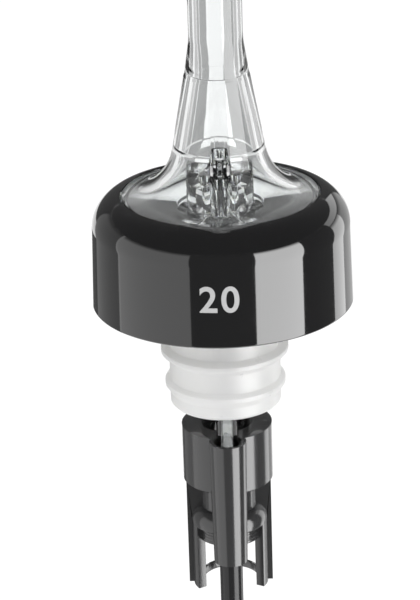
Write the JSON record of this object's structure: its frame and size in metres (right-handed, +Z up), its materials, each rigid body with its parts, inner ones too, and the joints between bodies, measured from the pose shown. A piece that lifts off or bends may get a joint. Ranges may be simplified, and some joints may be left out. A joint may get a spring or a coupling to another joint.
{
  "type": "measured bottle pourer",
  "caption": "Pourer pushed into a bottle's neck; a ball carried up its stem by the drink stops the flow after a set measure.",
  "frame": {"origin": "centre of the collar's lower rim, which the bottle's mouth passes into", "axes": "+Z up along the spout, -Y towards the air tube and the front column, +X to the right seen from the front"},
  "size_m": [0.041, 0.041, 0.1442],
  "materials": {
    "clear_moulding": "clear polished",
    "black_gloss": "high gloss",
    "white_soft": "soft satin",
    "black_moulding": "satin",
    "black_tube": "gloss",
    "steel": "polished"
  },
  "bodies": {
    "pourer": {"spout": "clear_moulding", "stem": "clear_moulding", "collar": "black_gloss", "cork": "white_soft", "cage": "black_moulding", "ball_stop": "black_moulding", "vent_tube": "black_tube", "air_bush": "white_soft"},
    "metering_ball": {"metering_ball": "steel"},
    "air_ball_lower": {"air_ball_lower": "steel"},
    "air_ball_upper": {"air_ball_upper": "steel"}
  },
  "joints": [
    {"name": "metering_ball_run", "type": "slide", "parent": "pourer", "child": "metering_ball", "axis": [0, 0, 1], "range_m": [0, 0.049]},
    {"name": "lower_air_ball_run", "type": "slide", "parent": "pourer", "child": "air_ball_lower", "axis": [0, 0, 1], "range_m": [0, 0.0398]},
    {"name": "upper_air_ball_run", "type": "slide", "parent": "pourer", "child": "air_ball_upper", "axis": [0, 0, 1], "range_m": [0, 0.0398]}
  ],
  "couplings": [
    {"joint": "upper_air_ball_run", "follows": "lower_air_ball_run", "ratio": 1}
  ]
}
